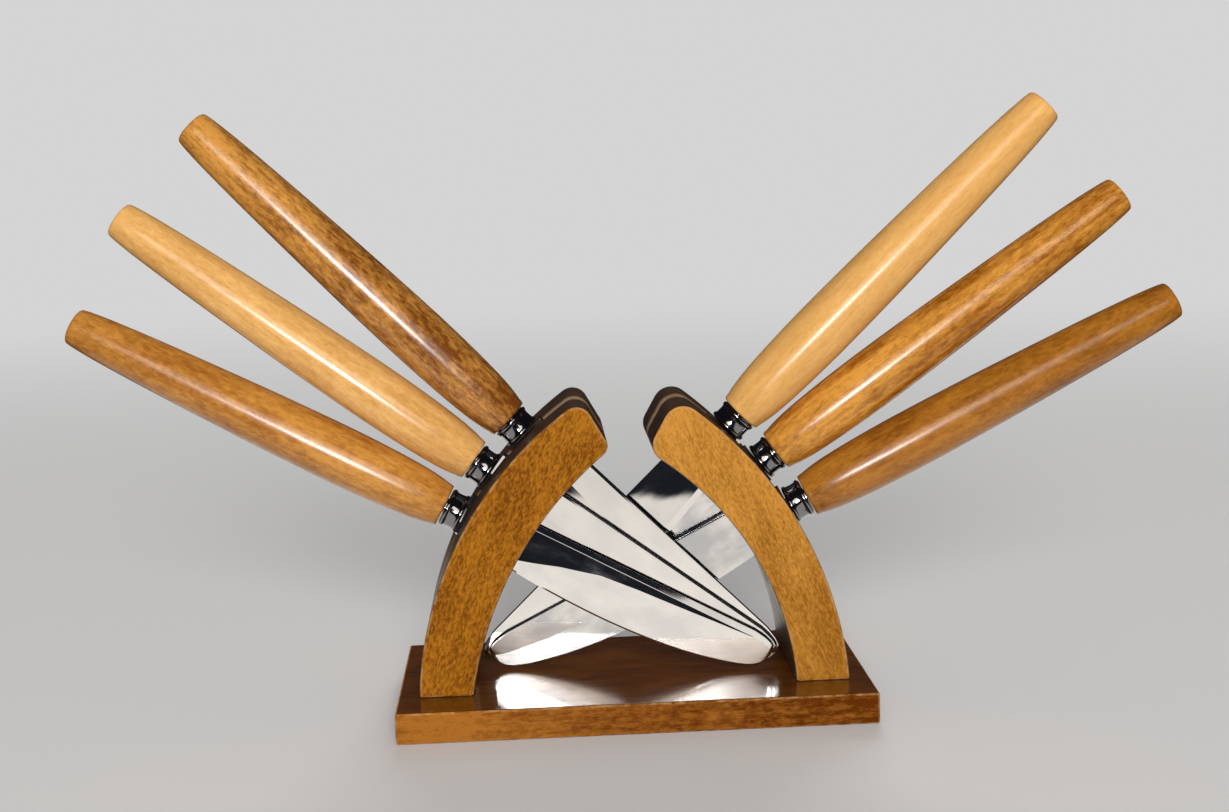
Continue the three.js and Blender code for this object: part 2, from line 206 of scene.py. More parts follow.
class StandSizes(bpy.types.PropertyGroup):
    """Sizes of the base board and the arms, in metres and radians."""
    arm_depth: length("Arm depth", "Size of an arm from front to back", 0.034)
    foot_inset: length("Foot inset", "From the board's end to an arm's foot", 0.0054)
    top_reach: length("Top reach", "From the middle to the top of an arm", 0.0117)
    end_slope: angle("End slope", "Slope of an arm's end", 60.5)
    slot_width: length("Slot width", "Width of the knife slot", 0.0049)
    slot_turn: angle("Slot turn", "How far the slots are askew", 4.328)
    slot_offset: length("Slot offset", "Where the slot's line meets the middle plane", 0.002106)
    arm_edge: length("Arm edge", "Rounding of the arms' edges", 0.0007)
    board_edge: length("Board edge", "Rounding of the board's edges", 0.0006)
    left_arm: bpy.props.PointerProperty(type=ArmSizes)
    right_arm: bpy.props.PointerProperty(type=ArmSizes)


class KnifeSizes(bpy.types.PropertyGroup):
    """Sizes of the knives, in metres."""
    blade_width: length("Blade width", "Width of a blade", 0.015)
    blade_thickness: length("Blade thickness", "Thickness of a blade at its ridge", 0.0011)
    heel_gap: length("Heel gap", "From the bolster to the blade's heel", 0.0003)
    edge_thickness: length("Edge thickness", "Thickness of the cutting edge", 0.00018)
    tang_width: length("Tang width", "Width of the tang", 0.004)
    tang_length: length("Tang length", "Length of the tang in the handle", 0.055)
    bolster_length: length("Bolster length", "Length of the metal collar", 0.0049)
    bead_radius: length("Bead radius", "Radius over the collar's beads", 0.005)
    neck_radius: length("Neck radius", "Radius of the collar at its ends", 0.0045)
    bore_radius: length("Bore radius", "Radius of the bore for the tang", 0.00257)
    handle_radius: length("Handle radius", "Greatest radius of a handle", 0.0075)


class FinishColours(bpy.types.PropertyGroup):
    """Colours of the finishes and of the surroundings."""
    left_arm_pale: colour("Left arm, pale", "Pale grain of the left arm", (0.46, 0.175, 0.012))
    left_arm_dark: colour("Left arm, dark", "Dark grain of the left arm", (0.19, 0.058, 0.003))
    right_arm_pale: colour("Right arm, pale", "Pale grain of the right arm", (0.66, 0.305, 0.052))
    right_arm_dark: colour("Right arm, dark", "Dark grain of the right arm", (0.30, 0.112, 0.010))
    board_pale: colour("Board, pale", "Pale grain of the board's sides", (0.42, 0.155, 0.022))
    board_dark: colour("Board, dark", "Dark grain of the board's sides", (0.12, 0.028, 0.001))
    # The varnish colours are dark varnish made darker still as painted shade: the board's top is darker
    # than its sides because little light falls on it
    varnish_and_shade_pale: colour("Varnish, pale", "Pale part of the board's varnish", (0.155, 0.047, 0.001))
    varnish_and_shade_dark: colour("Varnish, dark", "Dark part of the board's varnish", (0.085, 0.023, 0.001))
    # The rims' colours are a dark stain darkened further as painted shade: the upward and outward rims
    # are made darker than the front faces because less light falls on them
    rim_stain_and_shade_pale: colour("Rim, pale", "Pale part of the arms' stained rims", (0.095, 0.052, 0.026))
    rim_stain_and_shade_dark: colour("Rim, dark", "Dark part of the arms' stained rims", (0.050, 0.026, 0.012))
    slot_pale: colour("Slot, pale", "Pale part of the slots' walls", (0.19, 0.115, 0.062))
    slot_dark: colour("Slot, dark", "Dark part of the slots' walls", (0.11, 0.062, 0.032))
    # The pale edge colour is rubbed-through wood on the rounded edges and also painted highlight where
    # those edges catch the light
    worn_and_lit: colour("Worn edge", "Bare wood at worn edges", (0.60, 0.34, 0.15))
    steel: colour("Blade steel", "Polished steel of the blades", (0.83, 0.82, 0.80))
    # The spine colour is nearly black as painted dark reflection of the room on the ground faces; their
    # roughness is their own grind
    spine: colour("Spine", "Ground spines and edges of the blades", (0.035, 0.035, 0.04))
    # The bolsters' dark tint is painted dark reflection: bright plating that mirrored a dark room is
    # given a dark colour
    chrome: colour("Bolster chrome", "Dark bright plating of the bolsters", (0.20, 0.20, 0.21))
    brass: colour("Screw metal", "Plating of the screws", (0.62, 0.50, 0.26))
    floor: colour("Floor", "Floor near the stand", (0.80, 0.80, 0.80))
    backdrop: colour("Backdrop", "Background as the camera sees it", (0.66, 0.66, 0.66))
    table: colour("Mirrored table", "Table as polished metal shows it", (0.97, 0.92, 0.86))
    beyond: colour("Mirrored floor", "Floor beyond the table, as metal shows it", (0.013, 0.014, 0.019))
    room: colour("Mirrored room", "Room as polished metal shows it", (0.02, 0.022, 0.03))


class StageSettings(bpy.types.PropertyGroup):
    """Lamps and camera."""
    key_power: power("Key lamp", "Power of the soft lamp in front", 70)
    fill_power: power("Fill lamp", "Power of the soft lamp behind", 38)
    window_power: power("Window lamp", "Power of the small lamp that only glints", 15)
    glow_power: power("Window glow", "Power of the wide warm lamp above it", 8)
    ambient: bpy.props.FloatProperty(
        name="Ambient", description="Strength of the even light from all round", default=0.22,
        min=0, max=1, subtype="FACTOR")
    table_reach: length("Table reach", "How far the pale table shows in polished metal", 0.24)
    focal_pixels: bpy.props.FloatProperty(
        name="Focal length in pixels", description="Camera focal length at the photo's width",
        default=1617.08)


class KnifeStandSettings(bpy.types.PropertyGroup):
    """All sizes, colours and stage settings."""
    stand: bpy.props.PointerProperty(type=StandSizes)
    knife: bpy.props.PointerProperty(type=KnifeSizes)
    colours: bpy.props.PointerProperty(type=FinishColours)
    stage: bpy.props.PointerProperty(type=StageSettings)


def settings():
    return bpy.context.scene.knife_stand


# Geometry

def catmull_rom(points, steps):
    """Curve through points: between two of them the uniform Catmull-Rom cubic of the four around."""
    points = np.asarray(points, float)
    padded = np.vstack([points[:1], points, points[-1:]])
    at = np.linspace(0, len(points) - 1, steps)
    index = np.minimum(at.astype(int), len(points) - 2)
    t = (at - index)[:, None]
    p0, p1, p2, p3 = (padded[index + k] for k in range(4))
    return 0.5 * (2 * p1 + (p2 - p0) * t + (2 * p0 - 5 * p1 + 4 * p2 - p3) * t ** 2
                  + (3 * p1 - p0 - 3 * p2 + p3) * t ** 3)


def ring_faces(rings, sides, closed=False):
    """Quads between successive rings of points, each ring closed on itself."""
    ring = np.arange(rings if closed else rings - 1)[:, None]
    side = np.arange(sides)[None, :]
    here, there = ring * sides, ((ring + 1) % rings) * sides
    turn = (side + 1) % sides
    return np.stack([here + side, here + turn, there + turn, there + side], -1).reshape(-1, 4)


def rings_round(profile, sides, origin, along, across, up):
    """Profile of (place, radius) pairs turned about a line: point = origin + place * along +
    radius * (cos(angle) * across + sin(angle) * up)."""
    turn = np.linspace(0, 2 * np.pi, sides, endpoint=False)[:, None]
    rim = np.cos(turn) * across + np.sin(turn) * up
    rings = origin + profile[:, 0, None, None] * along + profile[:, 1, None, None] * rim
    return rings.reshape(-1, 3)


def turned(profile, sides, origin, *axes):
    """Rings round a line and their faces, with the profile's first and last point as poles."""
    profile = np.asarray(profile, float)
    rings = rings_round(profile[1:-1], sides, origin, *axes)
    poles = origin + profile[[0, -1], 0, None] * axes[0]
    side = np.arange(sides)
    turn = (side + 1) % sides
    count = len(rings)
    last = count - sides
    faces = ring_faces(len(profile) - 2, sides).tolist()
    faces += np.stack([turn, side, np.full(sides, count)], -1).tolist()
    faces += np.stack([last + side, last + turn, np.full(sides, count + 1)], -1).tolist()
    return np.vstack([rings, poles]), faces


def block(low, high):
    """Corners and faces of a box between two corners."""
    corners = np.stack(np.meshgrid(*np.transpose([low, high]), indexing="ij"), -1).reshape(-1, 3)
    return corners, [(0, 1, 3, 2), (4, 6, 7, 5), (0, 4, 5, 1), (2, 3, 7, 6), (0, 2, 6, 4), (1, 5, 7, 3)]


def new_piece(name, points, faces):
    """Object at the origin from points in millimetres and lists of point numbers."""
    mesh = bpy.data.meshes.new(name)
    mesh.from_pydata((np.asarray(points) * MM).tolist(), [], [list(map(int, f)) for f in faces])
    mesh.validate()
    mesh.polygons.foreach_set("use_smooth", [True] * len(mesh.polygons))
    mesh.set_sharp_from_angle(angle=math.radians(SMOOTH_ANGLE))
    piece = bpy.data.objects.new(name, mesh)
    bpy.context.scene.collection.objects.link(piece)
    return piece


def merged(piece, smooth_angle):
    """The piece with doubled points joined, faces turned outwards and edges sharp from an angle."""
    distance = 2e-6
    work = bmesh.new()
    work.from_mesh(piece.data)
    bmesh.ops.remove_doubles(work, verts=work.verts, dist=distance)
    bmesh.ops.dissolve_degenerate(work, edges=work.edges, dist=distance)
    bmesh.ops.recalc_face_normals(work, faces=work.faces)
    work.to_mesh(piece.data)
    work.free()
    piece.data.set_sharp_from_angle(angle=math.radians(smooth_angle))
    return piece


def made_real(piece):
    """The piece with its modifiers applied."""
    bpy.context.view_layer.update()
    depsgraph = bpy.context.evaluated_depsgraph_get()
    mesh = bpy.data.meshes.new_from_object(piece.evaluated_get(depsgraph))
    piece.modifiers.clear()
    old, piece.data = piece.data, mesh
    bpy.data.meshes.remove(old)
    return piece


def carved(piece, cutters):
    """The piece with the shapes of the cutters taken out of it. The cutters are used up."""
    for cutter in cutters:
        piece.modifiers.new(cutter.name, "BOOLEAN").object = cutter
    made_real(piece)
    for cutter in cutters:
        bpy.data.objects.remove(cutter)
    return piece


def rounded(piece, width, sharp_height=math.inf, least_length=0.0):
    """The piece with rounded edges where they stand out by more than 40 degrees. Hollow corners
    stay as they are, and so do edges shorter than least_length, such as the rims of holes, and
    edges that lie at the height sharp_height, such as those at the slots' floors."""
    work = bmesh.new()
    work.from_mesh(piece.data)
    weight = work.edges.layers.float.new("bevel_weight_edge")
    for edge in work.edges:
        ends = np.array([vert.co[2] / MM for vert in edge.verts])
        level = np.abs(ends - sharp_height).max() < 1e-3
        standing = edge.calc_face_angle_signed(0) > math.radians(40)
        edge[weight] = float(standing and not level and edge.calc_length() > least_length)
    work.to_mesh(piece.data)
    work.free()
    bevel = piece.modifiers.new("rounded edges", "BEVEL")
    bevel.width = width
    bevel.segments = 3
    bevel.limit_method = "WEIGHT"
    bevel.harden_normals = True
    bevel.use_clamp_overlap = False
    return made_real(piece)


def vectors(items, key):
    """One row per item of a mesh, such as the places of its points or the normals of its faces."""
    flat = np.empty(len(items) * 3, np.float32)
    items.foreach_get(key, flat)
    return flat.reshape(-1, 3).astype(float)


def mesh_points(mesh):
    """Places of the points in millimetres."""
    return vectors(mesh.vertices, "co") / MM


def put_attribute(piece, name, values):
    """Stores one number or vector per point."""
    kind, key = ("FLOAT_VECTOR", "vector") if np.ndim(values) == 2 else ("FLOAT", "value")
    stored = piece.data.attributes.new(name, kind, "POINT")
    stored.data.foreach_set(key, np.asarray(values, np.float32).ravel())


def put_grain(piece, origin, axes, shift):
    """Each point's place in the board it was cut from: along the grain, across it and up, in
    millimetres, moved by shift so that no two pieces show the same figure."""
    put_attribute(piece, "grain", (mesh_points(piece.data) - origin) @ np.transpose(axes) + shift)


def put_finishes(piece, materials, numbers=None):
    """Gives the piece its materials and each face the number of its own."""
    for material in materials:
        piece.data.materials.append(material)
    if numbers is not None:
        piece.data.polygons.foreach_set("material_index", numbers.astype(np.int32))


def box_corners(node_name):
    """Low and high corner of a CAD node's box in millimetres."""
    return [np.array(corner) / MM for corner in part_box(node_name)]


def knife_frame(stem):
    """Middle of the bolster's blade-side face, directions along the knife to its tip, across its
    blade and up to its spine, and the places of the handle's butt and neck. Along is the way in
    which the handle's points spread most."""
    handle, bolster = (
        np.unique(vectors(frame["nodes"][f"{stem}_{part}"].data.vertices, "co").round(6), axis=0) / MM
        for part in ("handle", "bolster"))
    middle = handle.mean(axis=0)
    spread = np.linalg.eigh(np.cov((handle - middle).T))[1][:, -1]
    along = spread * np.sign(spread @ (bolster.mean(axis=0) - middle))
    across = np.cross((0, 0, 1), along)
    across /= np.linalg.norm(across)
    face = ((bolster - middle) @ along).max()
    reach = (handle - middle) @ along
    axes = np.array([along, across, np.cross(along, across)])
    return middle + face * along, axes, reach.min() - face, reach.max() - face


def each_knife():
    """Number, body, first part of the pieces' names, and frame of every knife."""
    for number, knife in enumerate(KNIVES):
        stem = knife.removesuffix("_knife")
        yield number, knife, stem, *knife_frame(stem)


# Arms and base board

def far_crossing(start, direction, centre, radius):
    """Crossing of a line with a circle that lies further along the direction."""
    away = start - centre
    along = away @ direction
    return start + direction * (math.sqrt(along ** 2 - away @ away + radius ** 2) - along)


def circle_through(a, b, c):
    """Centre and radius of the circle through three points, from its perpendicular bisectors."""
    centre = np.linalg.solve(2 * np.array([b - a, c - a]), np.array([b @ b - a @ a, c @ c - a @ a]))
    return centre, float(np.linalg.norm(centre - a))


def arc(centre, radius, start, end, steps):
    """Points at equal angles from start to end on a circle."""
    turn = np.linspace(start, end, steps)
    return centre + radius * np.stack([np.cos(turn), np.sin(turn)], -1)


def angle_at(centre, point):
    return math.atan2(point[1] - centre[1], point[0] - centre[0])


def arm_outline(sizes, arm, board_length, board_top):
    """Outline in X and Z of an arm on the left: the outer arc up from the foot, the rounded top
    corner, the sloping end, the rounded nose, and the inner arc back down to the foot."""
    outer_steps, inner_steps, corner_steps = 90, 80, 14
    radius = arm.outer_radius / MM
    foot_x = sizes.foot_inset / MM - board_length / 2
    height = arm.outer_centre_height / MM
    centre = np.array([foot_x + math.sqrt(radius ** 2 - (board_top - height) ** 2), height])
    outer_foot = np.array([foot_x, board_top])
    inner_foot = outer_foot + (arm.foot_thickness / MM, 0)
    top_x = -sizes.top_reach / MM
    top = np.array([top_x, centre[1] + math.sqrt(radius ** 2 - (top_x - centre[0]) ** 2)])
    end_up = np.array([-math.cos(sizes.end_slope), math.sin(sizes.end_slope)])
    nose = top - end_up * arm.end_thickness / MM
    middle = (angle_at(centre, top) + angle_at(centre, outer_foot)) / 2
    inner_reach = radius - arm.middle_thickness / MM
    waist = centre + inner_reach * np.array([math.cos(middle), math.sin(middle)])
    inner_centre, inner_radius = circle_through(inner_foot, waist, nose)
    inward = np.array([-end_up[1], end_up[0]])
    top_round, nose_round = arm.top_corner / MM, arm.nose_corner / MM
    top_centre = far_crossing(nose + inward * top_round, end_up, centre, radius - top_round)
    nose_centre = far_crossing(
        nose + inward * nose_round, end_up, inner_centre, inner_radius + nose_round)
    outer_to = angle_at(centre, top_centre)
    facing = math.atan2(-inward[1], -inward[0])
    nose_to = angle_at(nose_centre, inner_centre)
    if nose_to >= facing + math.pi:
        nose_to -= 2 * math.pi
    return np.vstack([
        arc(centre, radius, angle_at(centre, outer_foot), outer_to, outer_steps),
        arc(top_centre, top_round, outer_to, facing, corner_steps)[1:],
        arc(nose_centre, nose_round, facing, nose_to, corner_steps),
        arc(inner_centre, inner_radius, angle_at(inner_centre, nose_centre),
            angle_at(inner_centre, inner_foot), inner_steps)[1:],
    ])


def split_at_height(outline, height):
    """The outline with a point added on each of its edges that crosses the height."""
    after = np.roll(outline, -1, axis=0)
    crosses = (outline[:, 1] - height) * (after[:, 1] - height) < 0
    where = np.nonzero(crosses)[0]
    part = ((height - outline[where, 1]) / (after[where, 1] - outline[where, 1]))[:, None]
    added = outline[where] + part * (after[where] - outline[where])
    added[:, 1] = height
    return np.insert(outline, where + 1, added, axis=0)


def slotted_arm(outline, depth, slot_offset, slot_slope, slot_width, slot_floor):
    """The outline drawn out from front to back in four layers of points: the front, the two walls
    of the slot on its skewed line, and the back. Above the slot's floor the rim between the slot's
    walls is left open, and the walls and floor close it."""
    outline = split_at_height(outline, slot_floor)
    count = len(outline)
    middle = slot_offset + slot_slope * outline[:, 0]
    half = slot_width / 2 * math.hypot(1, slot_slope)
    layers = [np.full(count, -depth / 2), middle - half, middle + half, np.full(count, depth / 2)]
    points = np.vstack([np.stack([outline[:, 0], y, outline[:, 1]], -1) for y in layers])
    number = np.arange(count)
    after = np.roll(number, -1)
    high_enough = outline[:, 1] >= slot_floor - 1e-6
    above = high_enough & high_enough[after]
    faces = []
    for layer, keep in ((0, number >= 0), (1, ~above), (2, number >= 0)):
        here, there = layer * count, (layer + 1) * count
        strip = np.stack([here + number, here + after, there + after, there + number], -1)
        faces += strip[keep].tolist()
    wall = number[high_enough]
    gap = np.nonzero(np.diff(wall) > 1)[0]
    if len(gap):
        wall = np.roll(wall, -(gap[0] + 1))
    start, end = wall[0], wall[-1]
    faces += [
        number[::-1].tolist(), (3 * count + number).tolist(),
        (count + wall).tolist(), (2 * count + wall[::-1]).tolist(),
        [count + start, 2 * count + start, 2 * count + end, count + end],
    ]
    return points, faces


def arm_finish_numbers(mesh, depth):
    """0, the sawn face, on the front and back faces and the start of their rounded edges, 2, the
    slot, on its walls, which face forwards or back deep inside the arm, and 1, the rim, elsewhere."""
    sideways = np.abs(vectors(mesh.polygons, "normal")[:, 1]) > 0.5
    inside = np.abs(vectors(mesh.polygons, "center")[:, 1]) < depth / 4
    return np.where(sideways, np.where(inside, 2, 0), 1)


class KNIFESTAND_OT_arms(bpy.types.Operator):
    """Build the two curved arms with their knife slots"""
    bl_idname = "knifestand.arms"
    bl_label = "Build arms"

    def execute(self, context):
        sizes, colours = settings().stand, settings().colours
        low, high = box_corners("base_board")
        board_top, middle_zone, grain_lean = high[2], 5, 22
        rim_facing, front_facing = 0.15, 0.92
        arms = (("left_arm", 1, LEFT_ARM_FIGURE), ("right_arm", -1, RIGHT_ARM_FIGURE_AND_LIGHT))
        for name, turn, figure in arms:
            outline = arm_outline(sizes, getattr(sizes, name), high[0] - low[0], board_top)
            cad = mesh_points(frame["nodes"][name].data)
            slot_floor = cad[np.abs(cad[:, 1]) < middle_zone, 2].min()
            points, faces = slotted_arm(
                outline, sizes.arm_depth / MM, -sizes.slot_offset / MM, -math.tan(sizes.slot_turn),
                sizes.slot_width / MM, slot_floor)
            piece = merged(new_piece(f"{name}_wood", points * (turn, turn, 1), faces), SMOOTH_ANGLE)
            rounded(piece, sizes.arm_edge, slot_floor)
            lean = math.radians(90 - grain_lean * turn)
            axes = [(math.cos(lean), 0, math.sin(lean)), (-math.sin(lean), 0, math.cos(lean)), (0, 1, 0)]
            put_grain(piece, np.zeros(3), axes, (31 * turn, 17, 5 * turn))
            # Rounded edges between faces and rims get rubbed-through wood and painted highlight
            sideways = np.abs(vectors(piece.data.vertices, "normal")[:, 1])
            put_attribute(piece, "wear", (sideways > rim_facing) & (sideways < front_facing))
            # Share of height along each arm; on the right arm the figure lightens upwards with it,
            # partly as painted light
            height = mesh_points(piece.data)[:, 2]
            put_attribute(piece, "part", (height - board_top) / (height.max() - board_top))
            pale, dark = getattr(colours, f"{name}_pale"), getattr(colours, f"{name}_dark")
            put_finishes(piece, [
                sawn_wood(f"{name} face", pale, dark, figure),
                # The rims' stain carries painted shade of the upward and outward faces; the slots' walls
                # are a darker brown
                rim_shade_and_slot_wood(f"{name} rim", colours.rim_stain_and_shade_pale, colours.rim_stain_and_shade_dark),
                rim_shade_and_slot_wood(f"{name} slot", colours.slot_pale, colours.slot_dark),
            ], arm_finish_numbers(piece.data, sizes.arm_depth))
            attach(piece, "stand")
            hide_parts(name)
        return {"FINISHED"}


class KNIFESTAND_OT_base_board(bpy.types.Operator):
    """Build the base board with its countersunk screw holes"""
    bl_idname = "knifestand.base_board"
    bl_label = "Build base board"

    def execute(self, context):
        colours = settings().colours
        low, high = box_corners("base_board")
        hole, sink, sides = 2.05, 3.9, 48
        flat_facing, edge_zone = 0.97, 1
        drill = [(-1, 0), (-1, sink + 0.2), (0.4, sink), (2.6, hole), (9, hole), (9, 0)]
        cutters = [new_piece(f"{screw}_hole", *turned(drill, sides, screw_foot(screw), *SCREW_AXES))
                   for screw in SCREWS]
        piece = carved(new_piece("base_board_wood", *block(low, high)), cutters)
        piece.data.set_sharp_from_angle(angle=math.radians(SMOOTH_ANGLE))
        rounded(piece, settings().stand.board_edge, least_length=0.003)
        put_grain(piece, np.zeros(3), np.eye(3), (7, 40, 3))
        # Rounded edges of the board get rubbed-through wood and painted highlight
        slanting = np.abs(vectors(piece.data.vertices, "normal")).max(axis=1) < flat_facing
        points = mesh_points(piece.data)
        inside = np.abs(points - (low + high) / 2) < (high - low) / 2 - edge_zone
        put_attribute(piece, "wear", slanting & ~(inside[:, 0] & inside[:, 1]))
        # Share along the board, on which its sides darken to the right, partly as painted shade
        put_attribute(piece, "part", (points[:, 0] - low[0]) / (high[0] - low[0]))
        put_finishes(piece, [
            sawn_wood("board side", colours.board_pale, colours.board_dark, BOARD_FIGURE_AND_LIGHT),
            # The top's varnish carries painted shade of the upward face
            dark_varnish_and_shade("board top", colours.varnish_and_shade_pale, colours.varnish_and_shade_dark),
        ], vectors(piece.data.polygons, "normal")[:, 2] > flat_facing)
        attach(piece, "stand")
        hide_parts("base_board")
        return {"FINISHED"}


def screw_foot(screw):
    """Foot of the screw's axis on the table."""
    low, high = box_corners(screw)
    return (low + high) / 2 * (1, 1, 0)


class KNIFESTAND_OT_screws(bpy.types.Operator):
    """Build the four countersunk wood screws"""
    bl_idname = "knifestand.screws"
    bl_label = "Build screws"

    def execute(self, context):
        metal = plated_metal("screw metal", settings().colours.brass, 0.32)
        start, end, step, sides = 4, 20, 0.2, 32
        radius, thread_depth, pitch = 1.62, 0.13, 1.4
        along = np.arange(start, end, step)
        thread = np.stack([along, radius - thread_depth * np.cos(2 * np.pi * along / pitch)], -1)
        head = [(0.4, 0), (0.4, 3.45), (0.55, 3.58), (2.6, 1.75), (start, 1.75)]
        profile = np.vstack([head, thread, [(22.8, 0.7), (24.3, 0.12), (24.4, 0)]])
        slot_half = np.array([4, 0.45, 1.1])
        for screw in SCREWS:
            foot = screw_foot(screw)
            slot = foot + (0, 0, 0.1)
            piece = new_piece(f"{screw}_metal", *turned(profile, sides, foot, *SCREW_AXES))
            carved(piece, [new_piece(f"{screw}_slot", *block(slot - slot_half, slot + slot_half))])
            put_finishes(piece, [metal])
            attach(piece, "stand")
            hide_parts(screw)
        return {"FINISHED"}


# Knives

def there_and_back(front, back):
    """Rows that run along the front and return along the back."""
    return np.concatenate([front, back[:, ::-1]], axis=1)


def blade_surface(sizes, grind, reach, origin, along, across, up):
    """Closed sections carried along the blade, from the tang's end through the heel to the tip.
    Each section runs down the front from the spine to the edge and up the back. Across the blade
    lie a chamfer, a hairline flat, an upper facet that ends on the ridge, a hollow and the bevel
    at the edge; thickness changes in a straight line between those breaks."""
    outline_steps, stations, tip_start, tip_rounding = 1400, 60, 0.8, 0.012
    most_chamfer, hairline_width, least_facet, back_chamfer = 0.14, 0.01, 0.02, 0.15
    heel, width = sizes.heel_gap / MM, sizes.blade_width / MM
    half, edge = sizes.blade_thickness / MM / 2, sizes.edge_thickness / MM / 2
    curve = catmull_rom(EDGE_SHARES, outline_steps)
    tip = int(curve[:, 0].argmax())
    lower = curve[:tip + 1]
    upper = np.vstack([[(0, SPINE_SHARE)], curve[tip:][::-1]])
    closing = np.sin(np.linspace(0, np.pi / 2, stations))
    place = np.concatenate([
        np.linspace(0, tip_start, stations)[:-1], tip_start + (1 - tip_start) * closing])
    place = place / place[-1] * curve[tip, 0]
    low = np.interp(place, lower[:, 0], lower[:, 1]) * width
    high = np.interp(place, upper[:, 0], upper[:, 1]) * width
    low[-1] = high[-1] = curve[tip, 1] * width
    ridge_knots, slope, most, chamfer_width, chamfer_depth, hollow_share, hollow_half = grind
    local = np.maximum(high - low, 1e-4)
    ones = np.ones_like(local)
    chamfer = np.minimum(chamfer_width / local, most_chamfer)
    hairline = chamfer + hairline_width
    ridge = np.maximum(np.interp(place, *np.transpose(ridge_knots)), hairline + least_facet)
    hollow = np.maximum(hollow_share, ridge + least_facet)
    breaks = np.array([0 * ones, chamfer, hairline, ridge, hollow, ones])
    facets = len(breaks) - 1
    at = np.append((np.arange(facets)[:, None] + (0, 0.04, 0.35, 0.65, 0.96)).ravel(), facets)
    first = np.minimum(at.astype(int), facets - 1)
    part = (at - first)[:, None]
    down = (breaks[first] + part * (breaks[first + 1] - breaks[first])).T
    top = half - np.minimum(slope * (ridge - hairline) * local, most)
    near_tip = np.sqrt(np.clip((curve[tip, 0] - place) / tip_rounding, 0, 1))[:, None]
    front, back = (
        (depths[first].T * (1 - part.T) + depths[first + 1].T * part.T) * near_tip
        for depths in (
            np.array([top - chamfer_depth, top, top, half * ones, hollow_half * ones, edge * ones]),
            np.outer([half - back_chamfer, half, half, half, hollow_half, edge], ones)))
    height = high[:, None] - down * local[:, None]
    s = np.broadcast_to((heel + place * reach)[:, None], height.shape)
    s, h, y = there_and_back(s, s), there_and_back(height, height), there_and_back(-front, back)
    tang_h = sizes.tang_width / MM * (0.5 - there_and_back(down, down)[:1])
    side = half * np.ones_like(down[:1])
    tang_y = there_and_back(-side, side)
    tang_end = -(sizes.bolster_length + sizes.tang_length) / MM - heel
    s = np.vstack([np.full_like(s[:2], tang_end), np.full_like(s[:1], heel), s])
    h = np.vstack([tang_h * 0, tang_h, tang_h, h])
    y = np.vstack([tang_y * 0, tang_y, tang_y, y])
    points = origin + s[..., None] * along + y[..., None] * across + h[..., None] * up
    return points.reshape(-1, 3), ring_faces(*s.shape)


class KNIFESTAND_OT_blades(bpy.types.Operator):
    """Build the six polished blades with their tangs"""
    bl_idname = "knifestand.blades"
    bl_label = "Build blades"

    def execute(self, context):
        sizes, colours = settings().knife, settings().colours
        # Near-black steel on spines and edges: painted dark reflection
        spine = plated_metal("blade spine steel", colours.spine, 0.5)
        side_facing = 0.9
        for number, knife, stem, origin, axes, *_ in each_knife():
            along, across, up = axes
            facing = across if along[0] > 0 else -across
            cad = mesh_points(frame["nodes"][f"{stem}_blade"].data)
            reach = ((cad - origin) @ along).max() - sizes.heel_gap / MM
            points, faces = blade_surface(
                sizes, BLADE_GRINDS.get(knife, PLAIN_GRIND), reach, origin, along, facing, up)
            piece = merged(new_piece(f"{stem}_blade_steel", points, faces), FACET_ANGLE)
            put_grain(piece, origin, axes, (60 * number, 0, 0))
            steel = polished_steel(
                f"{stem} blade steel", colours.steel, *BLADE_POLISH.get(knife, PLAIN_POLISH))
            narrow = np.abs(vectors(piece.data.polygons, "normal") @ across) < side_facing
            put_finishes(piece, [steel, spine], narrow)
            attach(piece, knife)
            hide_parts(f"{stem}_blade")
        return {"FINISHED"}


def half_wave(start, stop, foot, crest, steps):
    """Bead or cove on a profile: half a wave of sine from foot to crest and back."""
    turn = np.linspace(0, np.pi, steps)
    place = (start + stop) / 2 - (stop - start) / 2 * np.cos(turn)
    return np.stack([place, foot + (crest - foot) * np.sin(turn)], -1)


class KNIFESTAND_OT_bolsters(bpy.types.Operator):
    """Build the six chromed bolsters, each with two beads and a cove between them"""
    bl_idname = "knifestand.bolsters"
    bl_label = "Build bolsters"

    def execute(self, context):
        sizes = settings().knife
        # Dark tint on the bolsters: painted dark reflection of a dark room on bright chrome
        chrome = plated_metal("bolster chrome", settings().colours.chrome, 0.05)
        end = -sizes.bolster_length / MM
        bead, neck, bore = sizes.bead_radius / MM, sizes.neck_radius / MM, sizes.bore_radius / MM
        lip, fillet, cove_depth, sides = 0.2, 0.15, 0.15, 64
        waist, cove_start, cove_end = neck + lip, end + lip + 1, -fillet - 0.9
        profile = np.vstack([
            [(end, bore), (end, neck), (end + fillet, neck)],
            half_wave(end + lip, cove_start, waist, bead, 15),
            half_wave(cove_start, cove_end, waist, waist - cove_depth, 17)[1:-1],
            half_wave(cove_end, -fillet, waist, bead, 15),
            [(0, neck - lip), (0, bore)],
        ])
        faces = ring_faces(len(profile), sides, closed=True)
        for _, knife, stem, origin, axes, *_ in each_knife():
            points = rings_round(profile, sides, origin, *axes)
            piece = merged(new_piece(f"{stem}_bolster_chrome", points, faces), TURNED_ANGLE)
            put_finishes(piece, [chrome])
            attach(piece, knife)
            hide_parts(f"{stem}_bolster")
        return {"FINISHED"}


